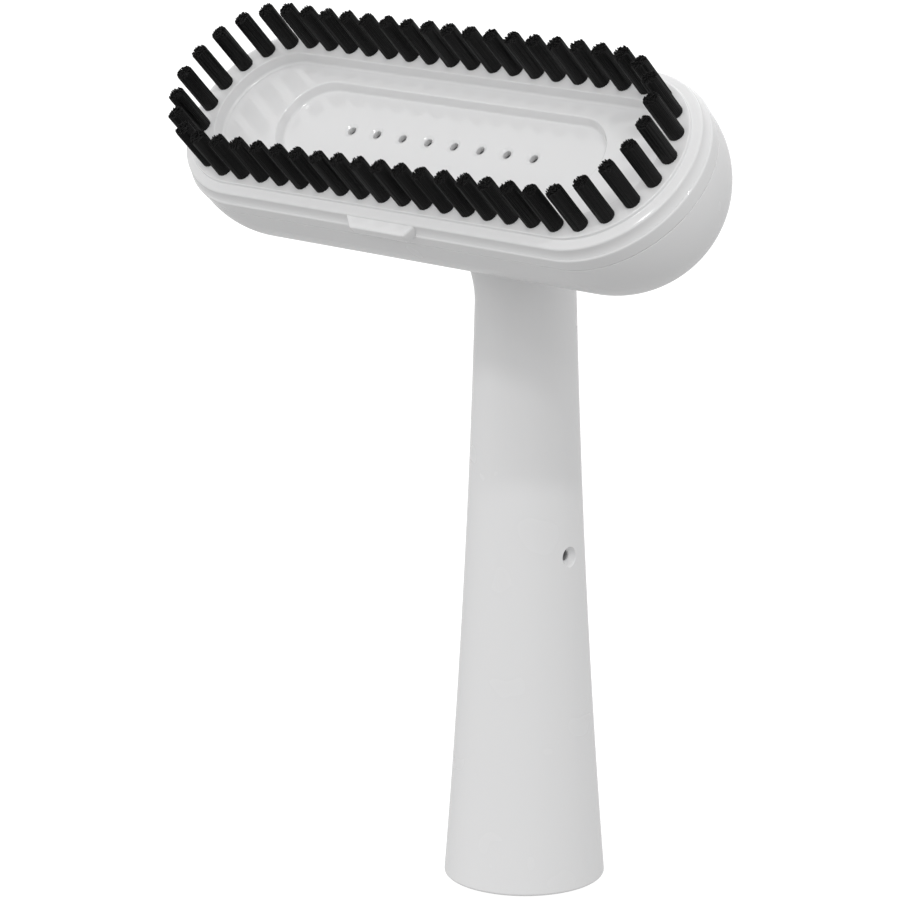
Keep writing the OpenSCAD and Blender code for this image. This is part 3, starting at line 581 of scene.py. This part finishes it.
def build_bezel():
    """Front of the head: recess wall, face under the ring, bead and outer wall."""
    lip, lip_q = 0.55, 11.83
    back_d = 6.6         # depth of the bezel's back, behind the plate
    # Small foot on the plate, sloping recess wall, then its rounded lip
    recess = [(10.2, back_d), (10.6, back_d), (10.65, PLATE_D + 0.02), (10.75, PLATE_D - 0.03),
              (10.95, PLATE_D - 0.12), (11.1, PLATE_D - 0.3), (11.24, PLATE_D - 0.6)]
    recess += arc_points(lip_q + lip, BEZEL_D + lip, lip, 205, 270, 8)
    profile = [(q, d, RECESS_L) for q, d in recess]
    profile += [(14.0, BEZEL_D, RECESS_L + 2), (15.6, BEZEL_D, HEAD_L - 4)]
    # Face under the ring, with the step that the ring's foot sits in
    profile += [(16.6, BEZEL_D), (17.6, BEZEL_D), (24.75, BEZEL_D)]
    profile += [(24.9, 3.3), (24.9, 4.1), (25.0, 4.2), (25.45, 4.25), (25.6, 4.6)]
    # Bead that turns into the outer wall, which draws in a little toward the split
    profile += arc_points(26.95, 5.3, 0.7, -90, 0, 14)
    edge = 0.3
    profile += [(HEAD_R + 0.22, 5.9), (HEAD_R + 0.12, 7.2), (HEAD_R + 0.01, SPLIT_D - edge - 0.15)]
    profile += arc_points(HEAD_R - edge, SPLIT_D - edge, edge, 0, 90, 5)
    profile += [(HEAD_R - 2.4, SPLIT_D), (HEAD_R - 2.4, back_d)]
    bm = bmesh.new()
    add_grid(bm, oval_rows(profile, HEAD_L, 64, 48), True, True)
    bezel = finish_mesh("head_bezel", bm, HEAD, sharp=35)
    give(bezel, BEZEL, "body", "bezel", "front_bezel")


def build_plate():
    """Steam plate at the bottom of the recess."""
    plate_r, back_d = 12.6, 7.38
    bm = bmesh.new()
    profile = [(0.0, PLATE_D), (6, PLATE_D), (11.0, PLATE_D), (plate_r, PLATE_D), (plate_r, back_d),
               (0.0, back_d)]
    add_grid(bm, oval_rows(profile, RECESS_L, 48, 24), True, False)
    plate = finish_mesh("steam_plate_piece", bm, HEAD, sharp=30)
    two_marks(plate)
    # Steam holes, each in a shallow dish that flows into the plate
    cutter = bmesh.new()
    face = -PLATE_D
    bore, dish_r, dish_d = 1.13, 1.28, 0.37
    dish = [(0, -9), (bore, -9), (bore, face - 0.62), (1.17, face - 0.48), (dish_r, face - dish_d)]
    dish += [(dish_r + t, face - dish_d + dish_d * math.sin(t * math.pi / 2) ** 1.3) for t in
             [i / 8 for i in range(1, 8)]]
    dish += [(2.32, face + 0.005), (2.5, -4), (0, -4)]
    for i in range(HOLES):
        x = (i - (HOLES - 1) / 2) * HOLE_PITCH
        tube_cutter(cutter, dish, HEAD @ Matrix.Translation((x, 0, 0)), 48)
    tool = finish_mesh("cutter", cutter, sharp=60)
    two_marks(tool)
    cut(plate, tool)
    plate.data.polygons.foreach_set("use_smooth", [True] * len(plate.data.polygons))
    plate.data.set_sharp_from_angle(angle=math.radians(20))
    give(plate, PLATE, "body", "plate", "steam_plate")


# ---------------------------------------------------------------- brush attachment
def ring_place(s):
    """Place on the ring of tufts after a distance from its far left corner."""
    straight = 2 * HEAD_L
    bow = math.pi * RING_R
    if s < straight:
        return s - HEAD_L, RING_R
    s -= straight
    if s < bow:
        return HEAD_L + RING_R * math.sin(s / RING_R), RING_R * math.cos(s / RING_R)
    s -= bow
    if s < straight:
        return HEAD_L - s, -RING_R
    s -= straight
    return -HEAD_L - RING_R * math.sin(s / RING_R), -RING_R * math.cos(s / RING_R)


def build_ring():
    """Ring of the brush attachment and the pull tab on its near side."""
    inner_edge, outer_edge = 0.4, 0.36       # roundings of the ring's face
    profile = [(18.2, 3.1), (15.9, 3.12)]
    profile += arc_points(15.85, 2.2, 0.9, 90, 12, 8)
    profile += arc_points(17.1 + inner_edge, inner_edge, inner_edge, 191, 270, 6)
    profile += [(18.2, 0), (20.8, 0), (23.2, 0)]
    profile += arc_points(24.25 - outer_edge, outer_edge, outer_edge, -90, -5, 6)
    # Step, then a sloping shelf that turns over a rounded edge
    profile += [(24.27, 0.66), (24.32, 0.82), (24.45, 0.9), (24.8, 0.97), (25.3, 1.1), (25.75, 1.26)]
    profile += arc_points(25.95, 2.1, 0.72, -66, 0, 12)
    # Foot that flows onto the bezel
    profile += [(26.67, 2.6), (26.72, 3.1), (26.81, 3.55), (26.92, 3.92), (27.04, 4.22),
                (27.16, 4.45), (27.29, 4.64)]
    # Underside, which follows the bezel's step
    profile += [(27.0, 4.58), (25.65, 4.57), (25.55, 4.15), (25.0, 4.12), (24.96, 3.9),
                (24.95, 3.15), (24.9, 3.05)]
    bm = bmesh.new()
    add_grid(bm, oval_rows(profile, HEAD_L, 64, 56), True, True)
    ring = finish_mesh("brush_ring", bm, HEAD, sharp=42)
    give(ring, RING, "brush", "brush_ring", "brush_frame")

    # Pull tab: a rounded slab that runs down from the shelf to a thick lip
    corners = [(-13.4, -24.6), (-9.3, -29.4), (8.9, -29.4), (13.0, -24.6)]
    top, low, edge = 2.55, 5.2, 0.6
    lean, lean_from = 0.34, -28.7            # the tab's top slopes by this share, inward of there
    levels = [(0.35, low), (0.1, low - 0.1), (0.0, low - 0.35), (0.0, top + edge)]
    levels += arc_points(edge, top + edge, edge, 180, 270, 7)[1:]
    levels += [(1.0, top + 0.03), (1.3, top + 0.09), (1.6, top + 0.12), (2.0, top + 0.12)]
    bm = bmesh.new()
    rows = []
    for amount, depth in levels:
        outline = rounded_outline(inset_corners(corners, amount), max(0.25, 1.0 - amount * 0.4), 8)
        share = min(1.0, (low - depth) / (low - top))
        rows.append([Vector((p.x, p.y, -depth + share * lean * max(0.0, p.y - lean_from)))
                     for p in outline])
    stack(bm, rows)
    tab = finish_mesh("pull_tab", bm, HEAD, sharp=45)
    give(tab, RING, "brush", "brush_ring")


def build_bristles():
    """Every tuft is a bundle of filaments, cut a little unevenly, on a dark core."""
    rng = random.Random(45)
    verts, faces = [], []

    def rod(x, y, levels, sides, spin=0.0):
        """Upright rod through levels of (height, radius, shift in x and y), closed on top."""
        start = len(verts)
        for h, r, (dx, dy) in levels:
            for i in range(sides):
                a = spin + math.tau * i / sides
                verts.append((x + dx + r * math.cos(a), y + dy + r * math.sin(a), h))
        for level in range(len(levels) - 1):
            for i in range(sides):
                j = (i + 1) % sides
                a = start + level * sides
                faces.append((a + i, a + j, a + sides + j, a + sides + i))
        last = start + (len(levels) - 1) * sides
        faces.append(tuple(last + i for i in range(sides)))

    upright = (0.0, 0.0)
    core = [(-TUFT_SUNK, 1.98, upright), (TUFT_H - 0.55, 1.98, upright), (TUFT_H - 0.3, 1.75, upright)]
    # Filaments stand in circles of (radius, how many); only the outer ones show their length
    circles = ((1.93, 31), (1.55, 24), (1.17, 18), (0.78, 12), (0.38, 6))
    for k in range(TUFTS):
        cx, cy = ring_place(k * TUFT_PITCH)
        tilt = (rng.gauss(0, 0.05), rng.gauss(0, 0.05))
        rod(cx, cy, core, 20)
        for number, (circle, count) in enumerate(circles):
            outer = number == 0
            phase = rng.uniform(0, math.tau)
            for i in range(count):
                a = phase + math.tau * (i + rng.uniform(-0.22, 0.22)) / count
                r = circle + rng.uniform(-0.03, 0.03)
                cut_short = rng.choice((0.0, 0.0, -0.12, -0.25, -0.42))
                top = min(TUFT_H + 0.22 + cut_short + rng.uniform(-0.12, 0.08), TUFT_H + 0.25)
                base = -TUFT_SUNK if outer else TUFT_H - 1.6
                lean = (tilt[0] + rng.gauss(0, 0.035), tilt[1] + rng.gauss(0, 0.035))
                thick = rng.uniform(0.175, 0.205)
                levels = [(base, thick, upright), (top - 0.16, thick, lean), (top, thick * 0.62, lean)]
                rod(cx + r * math.cos(a), cy + r * math.sin(a), levels, 6 if outer else 5,
                    rng.uniform(0, math.tau))
    mesh = bpy.data.meshes.new("bristles")
    mesh.from_pydata(verts, [], faces)
    mesh.transform(Matrix.Scale(MM, 4) @ HEAD)
    mesh.polygons.foreach_set("use_smooth", [True] * len(mesh.polygons))
    mesh.set_sharp_from_angle(angle=math.radians(50))
    obj = bpy.data.objects.new("bristles", mesh)
    bpy.context.scene.collection.objects.link(obj)
    give(obj, BRISTLE, "brush", "bristle", "bristle_tufts")


# ---------------------------------------------------------------- controls on the back
def pill_pad(bm, width, height, z0, proud, edge, base_y, dish=0.0):
    """Pad on the back of the handle that follows its curve, with a rounded edge."""
    half = width / 2
    levels = [(0.0, base_y, True)]
    for i in range(9):
        a = math.radians(90 * i / 8)
        levels.append((edge * (1 - math.cos(a)), edge * (1 - math.sin(a)), False))
    for t in (0.25, 0.5, 0.75, 1.0):
        levels.append((edge + (half - edge) * t, 0.0, False))
    rows = []
    for inset, drop, fixed in levels:
        row = []
        for x, h in pill_outline(width, height, inset):
            z = z0 + h
            r = side_radius(z) + proud
            y = drop if fixed else math.sqrt(max(r * r - x * x, 1)) - drop
            if dish and not fixed:
                y -= dish * max(0.0, 1 - (h / (height * 0.42)) ** 2) * max(0.0, 1 - (x / half) ** 2)
            row.append(Vector((x, y, z)))
        rows.append(row)
    stack(bm, rows)


def ridge(bm, length, radius, z, y):
    """Small half-round grip ridge that lies across the handle."""
    rows = []
    for i in range(9):
        t = -1 + 2 * i / 8
        k = math.sqrt(max(0.0, 1 - t ** 6))
        x = length / 2 * t
        rows.append([Vector((x, y + radius * k * math.sin(a), z + radius * k * math.cos(a)))
                     for a in [math.pi * 2 * j / 16 for j in range(16)]])
    add_grid(bm, rows, False, True)


def build_controls():
    """Button, slider, lamp lens, gland and filling plug."""
    inside_y = 9.0       # where the button and the slider end inside the handle
    bm = bmesh.new()
    pill_pad(bm, 8.8, 21.8, BUTTON_Z, 1.55, 0.9, inside_y, dish=0.55)
    for k in range(3):
        z = BUTTON_Z + 5.2 + 1.5 * k
        ridge(bm, 3.6, 0.32, z, side_radius(z) + 1.3)
    button = finish_mesh("button_pad", bm, sharp=50)
    give(button, SOFT_GREY, "button", "soft_grey", "steam_button")

    bm = bmesh.new()
    knob_z = SLIDER_Z + 0.2
    pill_pad(bm, 5.2, 5.2, knob_z, 1.0, 0.6, inside_y)
    for k in (-1, 0, 1):
        ridge(bm, 3.0, 0.3, knob_z + 1.05 * k, side_radius(SLIDER_Z) + 0.95)
    slider = finish_mesh("slider_knob", bm, sharp=50)
    give(slider, SOFT_GREY, "slider", "soft_grey", "power_slider")

    bm = bmesh.new()
    face = side_radius(LAMP_Z)
    dome = [(0.0, face + 0.2), (0.5, face + 0.17), (1.0, face + 0.06), (1.35, face - 0.08),
            (1.52, face - 0.3), (1.55, face - 0.6), (1.55, 8), (0.0, 8)]
    lathe(bm, dome, 40)
    lens = finish_mesh("lamp_dome", bm, Matrix.Translation((0, 0, LAMP_Z)) @ BACKWARD, sharp=50)
    give(lens, LENS, "body", "lens", "lamp_lens")

    # Gland of the cord: a ribbed rubber collar round an open bore
    bm = bmesh.new()
    bore, neck, inner_end = 2.6, 4.0, 15.4
    lip, lip_h = 0.4, 22.95
    profile = [(bore, inner_end), (bore, 22.9)]
    profile += arc_points(3.0, lip_h, lip, 180, 90, 4)
    profile += arc_points(3.75, lip_h, lip, 90, 0, 4)
    profile += [(4.2, 22.6), (4.45, 22.2), (4.75, 22.1), (4.95, 21.9), (5.15, 21.4), (5.2, 20.6),
                (5.2, 19.4), (neck, 19.2), (neck, inner_end)]
    lathe(bm, profile, 56, close=True)
    gland = finish_mesh("gland_collar", bm, Matrix.Translation((0, 0, GLAND_Z)) @ BACKWARD, sharp=45)
    give(gland, RUBBER, "body", "black_rubber", "cord_gland")

    # Filling plug: cap with a rounded edge and a finger bar
    bm = bmesh.new()
    cap = [(0.0, 20.9), (3.4, 20.9), (3.8, 21.3), (3.8, 26.45), (6.6, 26.45), (7.0, 26.75)]
    cap += arc_points(6.4, 27.65, 0.6, 0, 90, 6)
    cap += [(5.7, 28.2), (5.3, 28.02), (4.6, 28.0), (0.0, 28.0)]
    lathe(bm, cap, 72)
    rows = []
    bar = [(-4.6, -1.0), (4.6, -1.0), (4.6, 1.0), (-4.6, 1.0)]
    bar_edge, bar_top = 0.5, 30.1
    levels = [(0.0, 27.9), (0.0, 29.5)]
    levels += [(q, bar_top - d) for q, d in arc_points(bar_edge, bar_edge, bar_edge, 180, 270, 5)]
    for amount, height in levels:
        rows.append([Vector((p.x, p.y, height))
                     for p in rounded_outline(inset_corners(bar, amount), 0.9 - amount * 0.9 + 0.02, 6)])
    stack(bm, rows)
    plug = finish_mesh("plug_cap", bm, PLUG, sharp=45)
    give(plug, SOFT_GREY, "plug", "soft_grey", "fill_plug")


build_handle()
build_rear_shell()
build_bezel()
build_plate()
build_ring()
build_bristles()
build_controls()


# ---------------------------------------------------------------- floor, light and camera
FLOOR_GAP = 0.00002      # keeps the floor clear of the pad's underside, in metres
FLOOR_GLOW = 0.86        # the pale ground gives off most of its own light
CAMERA_AT = Vector((0.6895, -0.7600, 0.3628))
CAMERA_RIGHT = Vector((0.7282, 0.6854, -0.0015))
CAMERA_AHEAD = Vector((-0.6663, 0.7073, -0.2362))
CAMERA_LENS = 165.4


def build_stage():
    """A wide plain pale floor."""
    floor = bpy.data.meshes.new("floor")
    bm = bmesh.new()
    bmesh.ops.create_grid(bm, x_segments=1, y_segments=1, size=30)
    bm.to_mesh(floor)
    bm.free()
    obj = bpy.data.objects.new("floor", floor)
    bpy.context.scene.collection.objects.link(obj)
    mat = bpy.data.materials.new("floor_paper")
    mat.use_nodes = True
    bsdf = mat.node_tree.nodes["Principled BSDF"]
    bsdf.inputs["Base Color"].default_value = (0.3, 0.3, 0.3, 1)
    bsdf.inputs["Roughness"].default_value = 0.9
    bsdf.inputs["Specular IOR Level"].default_value = 0.1
    bsdf.inputs["Emission Color"].default_value = (1, 1, 1, 1)
    bsdf.inputs["Emission Strength"].default_value = FLOOR_GLOW
    floor.materials.append(mat)
    # The floor's bounce light is replaced by the lower half of the world
    obj.visible_diffuse = False
    obj.visible_glossy = False
    obj.visible_shadow = False
    obj.location.z = -FLOOR_GAP


# Broad soft panels of the studio: azimuth and elevation in degrees, brightness
PANELS = (
    (0, -90, 0.27),
    (133, -38, 0.327),
    (133, 0, 0.451),
    (133, 38, 0.367),
    (223, -38, 0.587),
    (223, 38, 1.587),
    (313, 0, 0.981),
    (313, 38, 0.146),
    (43, 0, 0.557),
    (43, 38, 0.778),
)


def toward(azimuth, elevation):
    """Direction to a light; azimuth 0 is -Y and 90 is +X."""
    a, e = math.radians(azimuth), math.radians(elevation)
    return Vector((math.sin(a) * math.cos(e), -math.cos(a) * math.cos(e), math.sin(e)))


def soft_sun(name, azimuth, elevation, strength, width):
    """Far lamp from a direction, as wide as an angle in degrees."""
    data = bpy.data.lights.new(name, "SUN")
    data.energy = strength * math.pi
    data.angle = math.radians(width)
    obj = bpy.data.objects.new(name, data)
    obj.rotation_euler = toward(azimuth, elevation).to_track_quat("Z", "Y").to_euler()
    bpy.context.scene.collection.objects.link(obj)


def build_light():
    """A pale studio of broad soft panels all round, and three soft lamps in front."""
    world = bpy.data.worlds.new("studio")
    bpy.context.scene.world = world
    world.use_nodes = True
    tree = world.node_tree
    n, link = tree.nodes, tree.links.new
    coords = n.new("ShaderNodeTexCoord")

    def math_node(operation, *sources):
        node = n.new("ShaderNodeMath")
        node.operation = operation
        for socket, source in zip(node.inputs, sources):
            if isinstance(source, float):
                socket.default_value = source
            else:
                link(source, socket)
        return node.outputs[0]

    total = 0.0
    for azimuth, elevation, brightness in PANELS:
        facing = n.new("ShaderNodeVectorMath")
        facing.operation = "DOT_PRODUCT"
        facing.inputs[1].default_value = toward(azimuth, elevation)
        link(coords.outputs["Generated"], facing.inputs[0])
        spread = math_node("POWER", math_node("MAXIMUM", facing.outputs["Value"], 0.0), 3.0)
        total = math_node("MULTIPLY_ADD", spread, brightness, total)
    link(total, n["Background"].inputs["Strength"])
    n["Background"].inputs["Color"].default_value = (1, 1, 1, 1)
    soft_sun("key", 60, 45, 0.105, 3)
    soft_sun("side", 43, 30, 0.031, 6)
    soft_sun("front", 0, 45, 0.147, 6)


def build_camera():
    """A long lens, a little above the head, that sees the face and the right end."""
    data = bpy.data.cameras.new("camera")
    data.lens = CAMERA_LENS
    data.sensor_width = 36
    data.sensor_height = 36
    data.clip_start = 0.05
    data.clip_end = 100
    cam = bpy.data.objects.new("camera", data)
    ahead = CAMERA_AHEAD.normalized()
    right = (CAMERA_RIGHT - ahead * CAMERA_RIGHT.dot(ahead)).normalized()
    up = right.cross(ahead)
    turn = Matrix((right, up, -ahead)).transposed()
    cam.matrix_world = Matrix.Translation(CAMERA_AT) @ turn.to_4x4()
    bpy.context.scene.collection.objects.link(cam)
    bpy.context.scene.camera = cam


build_stage()
build_light()
build_camera()
bpy.context.scene.view_settings.view_transform = "Standard"

for leftover in [m for m in bpy.data.materials if m.name.startswith("mark")]:
    bpy.data.materials.remove(leftover)
